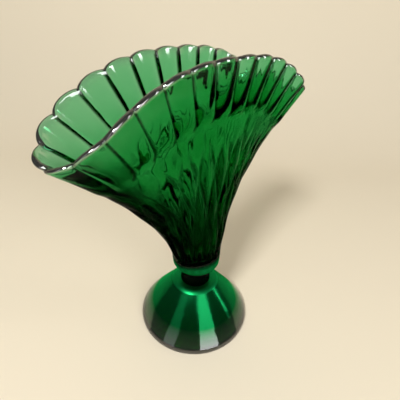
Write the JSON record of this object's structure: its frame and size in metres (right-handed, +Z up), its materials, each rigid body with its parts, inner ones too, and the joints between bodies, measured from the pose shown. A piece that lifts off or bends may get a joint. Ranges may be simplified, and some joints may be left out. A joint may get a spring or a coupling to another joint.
{
  "type": "fan vase",
  "caption": "Green pressed-glass fan vase: a flat fan bowl with raised flutes round its arched mouth, on a short stem and a hollow conical foot.",
  "frame": {"origin": "centre of the face that the foot rests on", "axes": "+Z up along the stem, X along the fan's length, Y through its thin side"},
  "size_m": [0.1756, 0.08, 0.1856],
  "materials": {
    "bowl_glass": "emerald green pressed glass, fire polished",
    "stem_glass": "solid emerald green glass, so thick that it looks almost black",
    "foot_glass": "emerald green pressed glass, thin and fire polished"
  },
  "bodies": {
    "root": {"fan_bowl": "bowl_glass", "stem": "stem_glass", "foot": "foot_glass"}
  },
  "joints": []
}
